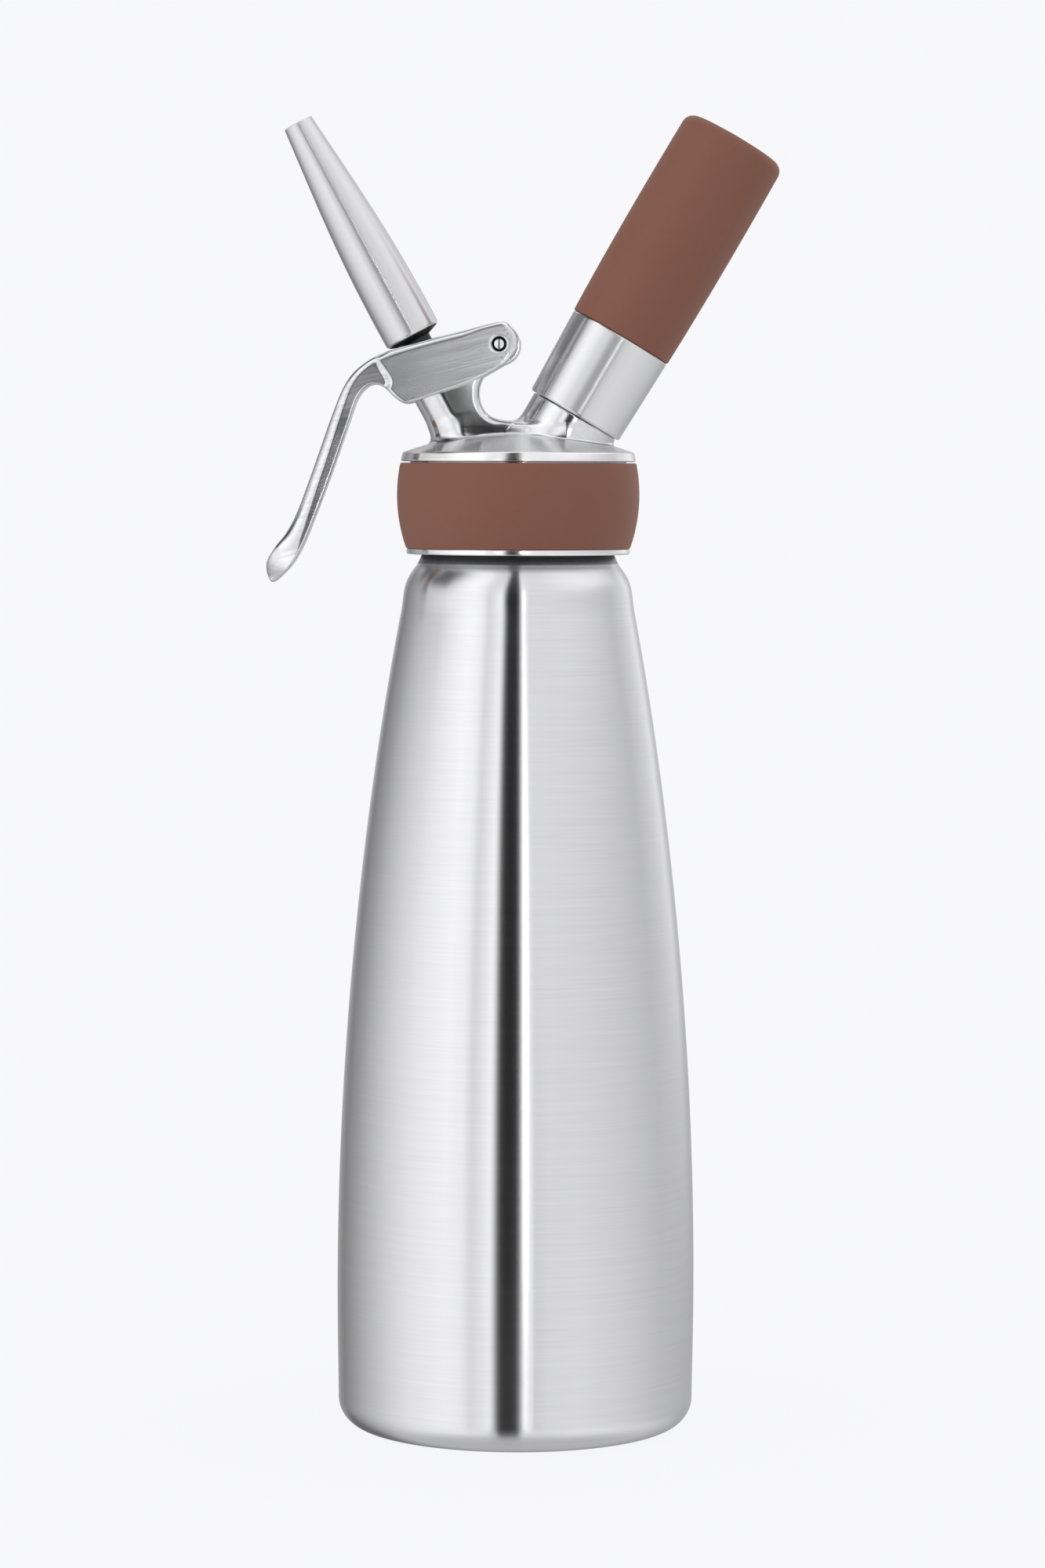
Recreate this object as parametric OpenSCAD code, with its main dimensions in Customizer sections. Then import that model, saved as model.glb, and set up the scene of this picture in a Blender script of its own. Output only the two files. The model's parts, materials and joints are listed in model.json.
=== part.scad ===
/* [Bottle] */
// Largest outside radius of the bottle
bottle_r = 47.5; // [46.5:0.1:48.5]
// Height at which the bottle is widest
bottle_belly_z = 36.8; // [34:0.2:40]
// Radius of the rounded edge at the foot of the bottle
foot_round = 7.6; // [5:0.1:8]
// Outside radius where the body runs into the shoulder
shoulder_r = 30.9; // [30.4:0.1:31.4]
// Height where the body runs into the shoulder
shoulder_z = 217; // [216:0.2:218]
// Outside radius of the neck
neck_r = 25.9; // [25.6:0.1:26]
// Height of the mouth
mouth_z = 252; // [251.6:0.1:252.2]
// Thickness of the steel wall
wall = 1.0; // [0.8:0.1:1.2]

/* [Head] */
// Outside radius of the polished rim
rim_r = 31.05; // [30.8:0.05:31.3]
// Height of the underside of the rim
rim_z = 256.6; // [256.4:0.1:256.8]
// Height where the dome meets the rim
rim_top_z = 259; // [258.8:0.1:259.4]
// Height of the top of the dome
dome_top_z = 264.3; // [264:0.1:264.6]
// Height of the flat ridge between the two sockets
ridge_z = 266.4; // [266:0.1:266.8]
// Height of the underside of the lower lip
lip_z = 232.2; // [232:0.1:232.6]
// Greatest radius of the silicone band
band_r = 32.05; // [31.8:0.05:32.2]

/* [Outlet] */
// Lean of the outlet axis to the left of upright, in degrees
outlet_tilt = 28.65; // [28.4:0.05:28.9]
// Where the outlet axis crosses the height of 264 mm
outlet_x = -13.9; // [-14.1:0.05:-13.7]
// Outside radius of the outlet post
post_r = 7.9; // [7.8:0.05:8]
// Length of the nozzle
nozzle_l = 63.4; // [62.4:0.1:64.4]
// Radius of the nozzle at its base
nozzle_r = 7.65; // [7.5:0.05:7.8]
// Radius of the nozzle at its tip
nozzle_tip_r = 4.02; // [3.9:0.02:4.2]

/* [Lever] */
// Distance of the hinge pin to the left of the bottle axis
pin_x = -5.13; // [-5.3:0.01:-5]
// Height of the hinge pin
pin_z = 287.34; // [287.2:0.02:287.5]
// Radius of the hinge pin
pin_r = 1.8; // [1.7:0.05:1.9]
// Radius of the lug that carries the pin
lug_r = 5.5; // [5.3:0.05:5.7]
// Outside width of the lever's box
lever_w = 21; // [20.6:0.1:21.4]
// Thickness of the lever's side cheeks
cheek_t = 1.9; // [1.7:0.1:2]
// Width of the lever's handle where the fingers pull
handle_w = 14; // [13:0.2:15]
// Width of the flared tip
tip_w = 17; // [16:0.2:18]

/* [Charger holder] */
// Lean of the holder axis to the right of upright, in degrees
inlet_tilt = 30.15; // [29.9:0.05:30.4]
// Distance of the sleeve's lower end to the right of the bottle axis
holder_x = 14.87; // [14.7:0.01:15]
// Height of the centre of the sleeve's lower end
holder_z = 268.87; // [268.7:0.01:269]
// Length of bare sleeve below the grip
sleeve_l = 23.9; // [23.5:0.1:24.3]
// Length of the holder with its grip
holder_l = 84.5; // [84:0.1:85]
// Greatest radius of the grip
grip_r = 14.75; // [14.6:0.05:14.85]
// Radius of the gas bulb
bulb_r = 9; // [8.9:0.05:9.1]
// Length of the gas bulb
bulb_l = 65; // [64.6:0.1:65.2]

/* [Hidden] */
$fn = 96;

steel = [0.80, 0.80, 0.81];
cast_steel = [0.76, 0.76, 0.77];
brown = [0.49, 0.34, 0.29];
black = [0.05, 0.05, 0.05];
spring_steel = [0.65, 0.66, 0.68];
seal_red = [0.62, 0.16, 0.12];

fit = 0.05;       // radial room of a running or push fit
loose = 0.3;      // room between parts that turn past each other
tiny = 0.01;

// Bottle and neck
mouth_r = neck_r - 1.6;
foot_r = bottle_r - 0.35;
groove_r = 30;
groove_w = 4;
groove_d = 0.8;

// Head
skirt_in_r = neck_r + 0.4;
skirt_out_r = 28.6;
lip_r = 29.5;
lip_h = 1.5;
ceiling_z = mouth_z + 2.4;
block_r = 18.5;   // solid middle under the dome, which holds both valves
block_z = 250.5;
blend = 0.15;     // how far the ridge stays inside the round post and socket
plate_t = 2 * post_r - 0.6;
band_bulge_z = 247.8;
band_bulge_r = 42;
arch = [-2.05, 274.6];
arch_r = 8.2;

// Stations along the outlet axis, from the point at a height of 264 mm
seat_s = -11.5;
seal_top_s = -4;
guide_top_s = 6;
post_top_s = 16;
pad_s = 22.8;     // where the lever's pads meet the collar
collar_t = 2.2;
collar_r = 7.4;
nozzle_s = 29.2;
stem_r = 3;
gallery_r = 4.6;  // bore round the stem
seat_r = 6;
poppet_r = 5.8;
chamber_r = 6.7;    // room for the poppet under the seat
adapter_r = 4.05;
flange_r = 7.1;    // the adapter's flange under the nozzle
thread_r = 5.2;
guide_r = 5.2;
pocket_r = 5.8;   // room for the spring inside the post
spring_r = 4.6;
spring_wire = 1;

// Stations along the holder axis, from the sleeve's lower end
nipple_r = 12.2;
inlet_r = 6;      // bore of the check valve
pin_base_r = 4.6;
gas_r = 2.2;
spigot_r = 10.4;
spigot_w = 15;
pin_seat_w = 5.5;
bulb_w = 9.75;
retainer_w = -17.6;
retainer_top_w = -10.6;
poppet_w = -2.2;
shoulder_w = 1;

// Points of a cubic curve
function cubic(a, b, c, d, n) = [for (i = [0:n]) let(t = i / n, s = 1 - t)
    s * s * s * a + 3 * s * s * t * b + 3 * s * t * t * c + t * t * t * d];
// Points of an arc round a centre, from one angle to the other
function arc(c, r, a0, a1, n) = [for (i = [0:n]) let(a = a0 + (a1 - a0) * i / n)
    c + r * [cos(a), sin(a)]];
// A smooth line through the given points, n steps between neighbours
function smooth(p, n) = [for (i = [0:len(p) - 2], k = [0:n - 1]) let(
    a = p[max(i - 1, 0)], b = p[i], c = p[i + 1], d = p[min(i + 2, len(p) - 1)], t = k / n)
    0.5 * (2 * b + (c - a) * t + (2 * a - 5 * b + 4 * c - d) * t * t
        + (3 * b - a - 3 * c + d) * t * t * t)];

// Places things on the outlet axis, z along it
module on_outlet(s = 0) {
    translate([outlet_x, 0, 264]) rotate([0, -outlet_tilt, 0]) translate([0, 0, s]) children();
}

// Places things on the holder axis, z along it
module on_inlet(w = 0) {
    translate([holder_x, 0, holder_z]) rotate([0, inlet_tilt, 0]) translate([0, 0, w]) children();
}

// A round piece from one station to another, with an optional bore
module ring(r, z0, z1, bore = 0) {
    translate([0, 0, z0]) difference() {
        cylinder(r = r, h = z1 - z0);
        if (bore > 0) translate([0, 0, -1]) cylinder(r = bore, h = z1 - z0 + 2);
    }
}

// A seal of round section
module o_ring(mid_r, wire_r) {
    rotate_extrude() translate([mid_r, 0]) circle(r = wire_r, $fn = 32);
}

// Extrudes an outline drawn in x and height, across the object
module across(w) {
    rotate([90, 0, 0]) linear_extrude(height = w, center = true) children();
}

// A coil swept round the axis as one closed tube with flat ends
module coil(mid_r, wire, z0, z1, turns, steps = 18, sides = 6) {
    n = turns * steps;
    rise = (z1 - z0 - wire) / n;
    ring_at = function(i) [for (k = [0:sides - 1]) let(
        a = 360 * i / steps, b = 360 * k / sides, r = mid_r + wire / 2 * cos(b))
        [r * cos(a), r * sin(a), z0 + wire / 2 + rise * i + wire / 2 * sin(b)]];
    points = [for (i = [0:n]) each ring_at(i)];
    side = [for (i = [0:n - 1], k = [0:sides - 1]) let(
        a = i * sides + k, b = i * sides + (k + 1) % sides) each
        [[a, a + sides, b], [b, a + sides, b + sides]]];
    cap0 = [for (k = [1:sides - 2]) [0, k, k + 1]];
    cap1 = [for (k = [1:sides - 2]) [n * sides, n * sides + k + 1, n * sides + k]];
    polyhedron(points = points, faces = concat(side, cap0, cap1));
}

// Outside and inside of the bottle, as radius and height
function bottle_curve(inset) = let(
    belly = [bottle_r - inset, bottle_belly_z],
    top = [shoulder_r - inset, shoulder_z])
    cubic(belly, belly + [0, 67.9], top + [9.1, -47.6], top, 28);

function shoulder_curve(inset) = cubic(
    [shoulder_r - inset, shoulder_z], [shoulder_r - 0.9 - inset, shoulder_z + 5.2],
    [shoulder_r - 0.2 - inset, shoulder_z + 7.4], [neck_r + 1.1 - inset, shoulder_z + 12], 10);

module bottle_shell() {
    foot_c = [foot_r - foot_round, foot_round];
    out_foot = arc(foot_c, foot_round, -90, 0, 10);
    in_foot = arc(foot_c, foot_round - wall, 0, -90, 8);
    body_in = bottle_curve(wall);
    neck_in = shoulder_curve(wall);
    color(steel) difference() {
        rotate_extrude() polygon(concat(
            [[0, 0]], out_foot, bottle_curve(0), shoulder_curve(0),
            [[neck_r, shoulder_z + 14.5], [neck_r, mouth_z], [mouth_r, mouth_z],
             [mouth_r, shoulder_z + 15.5]],
            [for (i = [len(neck_in) - 1:-1:0]) neck_in[i]],
            [for (i = [len(body_in) - 1:-1:0]) body_in[i]],
            in_foot, [[groove_r + groove_w + 2, wall], [groove_r + groove_w, wall + groove_d],
            [groove_r, wall + groove_d], [groove_r - 2, wall], [0, wall]]));
        translate([0, 0, -1]) ring(groove_r + groove_w - 0.6, 0, 1 + groove_d, groove_r + 0.6);
    }
}

module head_gasket() {
    color(seal_red) ring(neck_r + 0.2, mouth_z, ceiling_z, mouth_r - 3.5);
}

// The tilted solid round the inlet, which ends at the sleeve's lower face
module inlet_boss() {
    intersection() {
        on_inlet() ring(nipple_r, -14, -0.2);
        translate([0, 0, rim_z]) cylinder(r = rim_r, h = 40);
    }
    intersection() {
        ridge();
        on_inlet() ring(60, -60, -0.2);
    }
}

// Upright ridge from the post to the inlet, tangent to both in plan
module ridge() {
    inlet_x = holder_x - 2.2;
    span = inlet_x - outlet_x;
    lean = asin((nipple_r - post_r) / span);
    edge = [-sin(lean), cos(lean)];
    r0 = post_r - blend;
    r1 = nipple_r - blend;
    translate([0, 0, rim_z]) linear_extrude(height = ridge_z - rim_z) {
        polygon([
            [outlet_x, 0] + r0 * edge, [inlet_x, 0] + r1 * edge,
            [inlet_x, 0] + r1 * [edge[0], -edge[1]], [outlet_x, 0] + r0 * [edge[0], -edge[1]]]);
        translate([outlet_x, 0]) circle(r = r0);
        translate([inlet_x, 0]) circle(r = r1);
    }
}

// Post and the web beside it, with the arched edge cut out of both
module post_and_web() {
    lean = [-sin(outlet_tilt), cos(outlet_tilt)];
    foot = [outlet_x, 264];
    pin = [pin_x, pin_z];
    lug_low = pin + lug_r * [cos(-52), sin(-52)];
    arc_start = arch + arch_r * [cos(150), sin(150)];
    difference() {
        union() {
            across(plate_t) polygon([foot - 6 * lean, foot + 14 * lean,
                foot + post_top_s * lean + post_r * [lean[1], -lean[0]],
                pin + lug_r * [cos(160), sin(160)], pin, lug_low, [arch[0], rim_z]]);
            on_outlet() ring(post_r, -4, post_top_s);
        }
        across(3 * plate_t) polygon(concat(arc(arch, arch_r, 150, 270, 24),
            [[arch[0] + arch_r, ridge_z], [arch[0] + arch_r, pin_z - 2],
             lug_low + 0.15 * (lug_low - arc_start)]));
    }
}

module pin_lug() {
    translate([pin_x, 0, pin_z]) rotate([90, 0, 0]) cylinder(r = lug_r, h = plate_t, center = true);
    // The lug's nose, which shows beyond the lever's end
    across(plate_t) polygon([[-2, 288.4], [0.4, 288.4], [0.7, 287.9], [0.7, 286.9], [0.25, 285.5],
        [-0.8, 284.2], [-1.5, 283.5], [-4, 283.5]]);
}

module head_body() {
    dome_h = dome_top_z - rim_top_z;
    rim_top_r = rim_r - 0.45;
    dome_r = (rim_top_r * rim_top_r + dome_h * dome_h) / (2 * dome_h);
    dome_edge = asin(rim_top_r / dome_r);
    rotate_extrude() polygon(concat(
        [[0, block_z], [block_r, block_z], [block_r, ceiling_z], [skirt_in_r, ceiling_z],
         [skirt_in_r, lip_z], [lip_r - 0.4, lip_z], [lip_r, lip_z + 0.4], [lip_r, lip_z + lip_h],
         [skirt_out_r, lip_z + lip_h], [skirt_out_r, rim_z], [rim_r, rim_z]],
        arc([0, dome_top_z - dome_r], dome_r, 90 - dome_edge, 90, 12)));
}

module head_casting() {
    color(cast_steel) difference() {
        union() {
            head_body();
            inlet_boss();
            post_and_web();
            pin_lug();
            on_inlet() ring(spigot_r, -1, spigot_w);
        }
        on_outlet() {
            ring(gallery_r, seat_s - 1, seal_top_s + 1);
            ring(guide_r + fit, seal_top_s, guide_top_s + 1);
            ring(pocket_r, guide_top_s, post_top_s + 12);
            ring(chamber_r, seat_s - 20, seat_s);
            ring(seat_r + fit, seat_s - 1, seat_s + 1.5);
        }
        on_inlet() {
            ring(inlet_r + fit, -40, shoulder_w);
            ring(gas_r, shoulder_w - 1, pin_seat_w + 1);
            ring(pin_base_r + fit, pin_seat_w, spigot_w + 1);
        }
        translate([pin_x, 0, pin_z]) rotate([90, 0, 0])
            cylinder(r = pin_r + fit, h = plate_t + 2, center = true);
    }
}

module head_band() {
    low = lip_z + lip_h;
    high = rim_z - 0.35;
    c = [band_r - band_bulge_r, band_bulge_z];
    a0 = asin((low + 0.5 - band_bulge_z) / band_bulge_r);
    a1 = asin((high - 0.4 - band_bulge_z) / band_bulge_r);
    color(brown) rotate_extrude() polygon(concat(
        [[skirt_out_r + fit, low + tiny], [c[0] + band_bulge_r * cos(a0) - 0.4, low + tiny]],
        arc(c, band_bulge_r, a0, a1, 14),
        [[c[0] + band_bulge_r * cos(a1) - 0.3, high], [skirt_out_r + fit, high]]));
}

module valve_seat() {
    color(steel) on_outlet() ring(seat_r, seat_s + tiny, seat_s + 1.4, gallery_r);
}

module stem_guide() {
    color(steel) on_outlet() ring(guide_r, seal_top_s + 2.2, guide_top_s, stem_r + fit);
}

module guide_seal() {
    color(black) on_outlet(seal_top_s + 1.1) o_ring(4.13, 1.06);
}

module valve_spring() {
    color(spring_steel) on_outlet()
        coil(spring_r, spring_wire, guide_top_s + 0.1, pad_s - collar_t - 0.1, 6);
}

module inlet_retainer() {
    color(steel) on_inlet() difference() {
        ring(inlet_r, retainer_w, retainer_top_w, 1.6);
        for (a = [0:120:240]) rotate(a) translate([3.9, 0, 0])
            ring(0.9, retainer_w - 1, retainer_top_w + 1);
    }
}

module inlet_spring() {
    color(spring_steel) on_inlet() coil(3.2, 0.6, retainer_top_w + 0.1, poppet_w - 0.1, 5);
}

module pierce_pin() {
    color(steel) on_inlet() rotate_extrude() polygon([
        [0.5, pin_seat_w + tiny], [pin_base_r, pin_seat_w + tiny], [pin_base_r, pin_seat_w + 2.5],
        [1.2, pin_seat_w + 2.5], [1.2, bulb_w + 0.4], [0.55, bulb_w + 1.6], [0.5, bulb_w + 1.6]]);
}

module charger_seal() {
    color(black) on_inlet() ring(4.5, pin_seat_w + 2.5 + tiny, bulb_w - 0.1, 1.7);
}

// Side outline of the lever's box, in x and height
function box_side() = smooth([
    [-38, 283.7], [-33.8, 285.6], [-23.8, 288.5], [-13.9, 291], [-4.6, 293.2], [-1.85, 291.7],
    [-0.3, 289.4], [-0.35, 286.6], [-1.75, 284.3], [-3.9, 282], [-8, 279.5], [-13, 277.1],
    [-18.8, 275], [-26.2, 272.5], [-29.8, 271.8], [-32.1, 273], [-34.9, 275.5], [-37.1, 278.4],
    [-38.6, 281.4], [-38, 283.7]], 4);

// Side outline of the handle: outer edge down to the tip, and back up the inner edge
function handle_side() = smooth([
    [-31, 286.5], [-36.9, 284.4], [-41, 281.9], [-44.1, 278.9], [-46.6, 274.7],
    [-49.3, 268], [-52.2, 259.8], [-55.1, 251.6], [-58.2, 243.3], [-60.9, 238],
    [-64.3, 233.5], [-66.4, 229.7], [-66.1, 226.3], [-64.6, 224.6], [-61.9, 226.7],
    [-59.1, 230.1], [-56.4, 235], [-53.7, 241.6], [-50.5, 249.9], [-47.5, 258.3],
    [-44.4, 267.4], [-42.3, 273.2], [-39.7, 276.2], [-36.8, 276.7], [-33, 274.4]], 3);

// Widths of the handle as seen from its end, in y and height
function handle_front() = let(half = smooth([
    [handle_w / 2 + 1.6, 290], [handle_w / 2 + 1.2, 280], [handle_w / 2, 266],
    [handle_w / 2 - 0.6, 250], [handle_w / 2 - 0.2, 240], [tip_w / 2 - 0.2, 232],
    [tip_w / 2 - 0.6, 228], [tip_w / 2 - 4, 225], [0, 223.6]], 3))
    concat(half, [for (i = [len(half) - 1:-1:0]) [-half[i][0], half[i][1]]]);

module lever() {
    web = 2.2;
    web_end = -13;
    inner_w = lever_w - 2 * cheek_t;
    pad_r = 2.2;
    slot_r = adapter_r + 0.85;
    color(steel) difference() {
        union() {
            difference() {
                across(lever_w) polygon(box_side());
                across(inner_w) polygon([[-33.8, 262], [-33.8, 285.6 - web], [-23.8, 288.5 - web],
                    [web_end, 291.2 - web], [web_end, 300], [8, 300], [8, 262]]);
            }
            // Pads that press the collar, one on each side of the stem
            intersection() {
                on_outlet(pad_s + pad_r + 0.1) for (side = [-1, 1])
                    translate([0, side * (inner_w / 2 + stem_r + 2.2) / 2, 0]) rotate([90, 0, 0])
                        cylinder(r = pad_r, h = inner_w / 2 - stem_r - 2, center = true);
                across(lever_w) polygon(box_side());
            }
            intersection() {
                across(30) polygon(handle_side());
                translate([-50, 0, 0]) rotate([90, 0, 90])
                    linear_extrude(height = 60, center = true) polygon(handle_front());
            }
        }
        // Room for the adapter, and for the lever's swing past it
        on_outlet(pad_s) {
            for (dx = [-0.3, 2.9]) translate([dx, 0, 0]) cylinder(r = slot_r, h = 12);
            translate([-0.3, -slot_r, 0]) cube([3.2, 2 * slot_r, 12]);
        }
        translate([pin_x, 0, pin_z]) rotate([90, 0, 0])
            cylinder(r = pin_r + fit / 2, h = lever_w + 2, center = true);
    }
}

module lever_pin() {
    color(steel) difference() {
        translate([pin_x, 0, pin_z]) rotate([90, 0, 0])
            cylinder(r = pin_r, h = lever_w + 0.1, center = true);
        translate([pin_x, -lever_w / 2, pin_z]) cube([0.5, 1.2, 2.6 * pin_r], center = true);
    }
}

module valve_stem() {
    color(steel) on_outlet() difference() {
        union() {
            ring(stem_r, seat_s - 3, nozzle_s + 8);
            ring(poppet_r, seat_s - 4.4, seat_s - 1.8);
        }
        ring(1.5, seat_s + 2, nozzle_s + 9);
        translate([0, 0, seat_s + 3.6]) for (a = [0, 90]) rotate([0, 90, a])
            cylinder(r = 1.1, h = 10, center = true);
    }
}

module poppet_seal() {
    color(seal_red) on_outlet() ring(poppet_r, seat_s - 1.8 + tiny, seat_s - fit, stem_r + 0.02);
}

module stem_collar() {
    color(steel) on_outlet() ring(collar_r, pad_s - collar_t, pad_s, stem_r + 0.02);
}

module nozzle_adapter() {
    bore = stem_r + 0.02;
    color(black) on_outlet() rotate_extrude() polygon([
        [bore, pad_s + 0.2], [adapter_r, pad_s + 0.2], [adapter_r, nozzle_s - 1.3],
        [flange_r, nozzle_s - fit], [thread_r, nozzle_s - fit], [thread_r, nozzle_s + 8],
        [bore, nozzle_s + 8]]);
}

module nozzle_seal() {
    color(seal_red) on_outlet() ring(thread_r - 0.1, nozzle_s + 8 + fit, nozzle_s + 9.6, 1.6);
}

// A steel nozzle: straight near its base, then drawn in to a cone at the tip
module nozzle() {
    tip = [nozzle_tip_r, nozzle_s + nozzle_l];
    straight = [nozzle_r, nozzle_s + 4.8];
    color(steel) on_outlet() rotate_extrude() polygon(concat(
        [[thread_r + fit, nozzle_s], [nozzle_r - 0.6, nozzle_s], [nozzle_r - 0.15, nozzle_s + 0.4],
         [nozzle_r, nozzle_s + 1]],
        cubic(straight, straight + [0, 22], tip + [2.42, -26], tip, 18),
        [[nozzle_tip_r - 0.9, nozzle_s + nozzle_l], [nozzle_tip_r - 1, nozzle_s + nozzle_l - 8],
         [4, nozzle_s + 24], [4, nozzle_s + 13], [thread_r + fit, nozzle_s + 11.6]]));
}

module restrictor_disc() {
    color(steel) on_outlet(nozzle_s) difference() {
        ring(thread_r - 0.1, 9.6 + fit, 11.2);
        for (a = [0:60:300]) rotate(a) translate([2.6, 0, 0]) ring(0.5, 9, 12);
        ring(0.5, 9, 12);
    }
}

module inlet_poppet() {
    color(steel) on_inlet() {
        ring(5, poppet_w, poppet_w + 1.8);
        ring(1.5, -15, poppet_w + 0.1);
    }
}

module inlet_poppet_seal() {
    color(black) on_inlet() ring(4.8, poppet_w + 1.8 + tiny, shoulder_w - fit);
}

module nitrogen_charger() {
    neck = 4.3;
    t = 1.4;
    top = bulb_w + bulb_l;
    out = concat([[1.4, bulb_w], [neck, bulb_w], [neck, bulb_w + 8]],
        cubic([neck, bulb_w + 8], [neck, bulb_w + 11], [bulb_r, bulb_w + 10],
            [bulb_r, bulb_w + 16], 8),
        arc([0, top - bulb_r], bulb_r, 0, 90, 10));
    inside = concat(arc([0, top - bulb_r], bulb_r - t, 90, 0, 8),
        cubic([bulb_r - t, bulb_w + 16], [bulb_r - t, bulb_w + 12], [neck - t, bulb_w + 13],
            [neck - t, bulb_w + 8], 8),
        [[neck - t, bulb_w + 1.2], [1.4, bulb_w + 1.2]]);
    color([0.72, 0.73, 0.75]) on_inlet() rotate_extrude() polygon(concat(out, inside));
}

module charger_cap() {
    color(spring_steel) on_inlet() ring(2.8, bulb_w + 1.2 + tiny, bulb_w + 1.6, 1.4);
}

module holder_sleeve() {
    top = sleeve_l - 0.15;
    inner = bulb_w + bulb_l + 0.5;
    core_r = 11.6;
    color(steel) on_inlet() rotate_extrude() polygon([
        [spigot_r + loose, 0], [13.1, 0], [13.35, 0.25], [13.75, 11], [14.1, top - 0.2], [13.95, top],
        [core_r, top], [core_r, inner + 2.2], [core_r - 1, inner + 3], [0, inner + 3],
        [0, inner], [5, inner], [bulb_r + loose, inner - 4.5], [bulb_r + loose, spigot_w + 5.5],
        [spigot_r + loose, spigot_w + 4]]);
}

module holder_grip() {
    inner = bulb_w + bulb_l + 3.5 + fit;
    core_r = 11.6 + fit;
    low = sleeve_l;
    end_round = 3;
    end_r = grip_r - 0.2;
    color(brown) on_inlet() rotate_extrude() polygon(concat(
        [[core_r, low], [14.1, low], [14.3, low + 0.25]],
        cubic([14.3, low + 0.3], [14.75, low + 16], [grip_r + 0.15, low + 34],
            [end_r, holder_l - end_round - 0.6], 10),
        arc([end_r - end_round, holder_l - end_round - 0.6], end_round, 6, 84, 8),
        [[end_r - end_round - 4, holder_l - 0.25], [0, holder_l], [0, inner], [core_r, inner]]));
}

bottle_shell();
head_gasket();
head_casting();
head_band();
valve_seat();
stem_guide();
guide_seal();
valve_spring();
inlet_retainer();
inlet_spring();
pierce_pin();
charger_seal();
lever();
lever_pin();
valve_stem();
poppet_seal();
stem_collar();
nozzle_adapter();
nozzle_seal();
nozzle();
restrictor_disc();
inlet_poppet();
inlet_poppet_seal();
nitrogen_charger();
charger_cap();
holder_sleeve();
holder_grip();
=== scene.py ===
import json
import math

import bpy
import numpy as np
from mathutils import Matrix, Vector


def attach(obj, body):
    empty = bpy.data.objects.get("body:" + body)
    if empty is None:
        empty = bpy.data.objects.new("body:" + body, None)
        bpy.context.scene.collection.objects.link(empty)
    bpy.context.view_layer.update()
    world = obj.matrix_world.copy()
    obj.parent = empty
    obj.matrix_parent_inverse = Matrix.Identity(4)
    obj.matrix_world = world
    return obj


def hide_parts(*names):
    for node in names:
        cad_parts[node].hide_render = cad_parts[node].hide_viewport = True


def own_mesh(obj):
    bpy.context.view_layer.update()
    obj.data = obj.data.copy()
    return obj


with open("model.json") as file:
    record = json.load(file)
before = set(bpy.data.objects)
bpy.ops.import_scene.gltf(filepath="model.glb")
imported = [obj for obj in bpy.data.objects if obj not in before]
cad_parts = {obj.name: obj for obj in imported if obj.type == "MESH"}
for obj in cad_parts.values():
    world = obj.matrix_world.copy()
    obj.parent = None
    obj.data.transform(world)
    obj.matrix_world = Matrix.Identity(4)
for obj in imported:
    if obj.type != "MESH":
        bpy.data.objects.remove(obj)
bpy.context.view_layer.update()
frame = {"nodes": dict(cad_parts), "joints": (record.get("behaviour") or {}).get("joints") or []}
mm = 0.001


# Curves in a plane, in millimetres

def cubic(a, b, c, d, n):
    t = np.linspace(0, 1, n + 1)[:, None]
    a, b, c, d = (np.array(p, float) for p in (a, b, c, d))
    return (1 - t) ** 3 * a + 3 * (1 - t) ** 2 * t * b + 3 * (1 - t) * t * t * c + t ** 3 * d


def arc(centre, radius, start, end, n):
    a = np.radians(np.linspace(start, end, n + 1))
    return np.array(centre, float) + radius * np.stack([np.cos(a), np.sin(a)], 1)


# A smooth line through the given points
def smooth(points, n):
    p = np.array(points, float)
    before, after = np.vstack([p[:1], p[:-2]]), np.vstack([p[2:], p[-1:]])
    start, end = p[:-1], p[1:]
    rows = []
    for t in np.arange(n) / n:
        rows.append(0.5 * (2 * start + (end - before) * t
                           + (2 * before - 5 * start + 4 * end - after) * t * t
                           + (3 * start - before - 3 * end + after) * t ** 3))
    return np.stack(rows, 1).reshape(-1, 2)


# A closed outline whose listed corners are rounded: each point is (x, y) or (x, y, radius)
def softened(points, n=5):
    out = []
    count = len(points)
    for i, p in enumerate(points):
        here = np.array(p[:2], float)
        size = p[2] if len(p) > 2 else 0
        if size == 0:
            out.append(here)
            continue
        back = np.array(points[i - 1][:2], float) - here
        ahead = np.array(points[(i + 1) % count][:2], float) - here
        start = here + back / np.linalg.norm(back) * size
        end = here + ahead / np.linalg.norm(ahead) * size
        for t in np.linspace(0, 1, n):
            out.append((1 - t) ** 2 * start + 2 * (1 - t) * t * here + t * t * end)
    return np.array(out)


# Frames on the axes of the joints: local Z runs along the joint's axis

def jointFrame(name):
    joint = next(j for j in frame["joints"] if j["name"] == name)
    axis = Vector(joint["axis"]).normalized()
    right = Vector((0, 1, 0)).cross(axis)
    place = Matrix.Identity(4)
    for row in range(3):
        place[row][0], place[row][1] = right[row], (0, 1, 0)[row]
        place[row][2], place[row][3] = axis[row], joint["pos_m"][row]
    return place


# A point on the axes of outlet and inlet, and the middle of the pin: (x, z) in millimetres
outletSpot, inletSpot, pinSpot = (-13.9, 264), (14.87, 268.87), (-5.13, 287.34)
outletFrame = jointFrame("nozzle_turn")
inletFrame = jointFrame("holder_turn")
pinFrame = (Matrix.Translation((pinSpot[0] * mm, 0, pinSpot[1] * mm))
            @ Matrix.Rotation(math.radians(90), 4, "X"))


def addObject(name, data):
    item = bpy.data.objects.new(name, data)
    bpy.context.scene.collection.objects.link(item)
    return item


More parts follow.
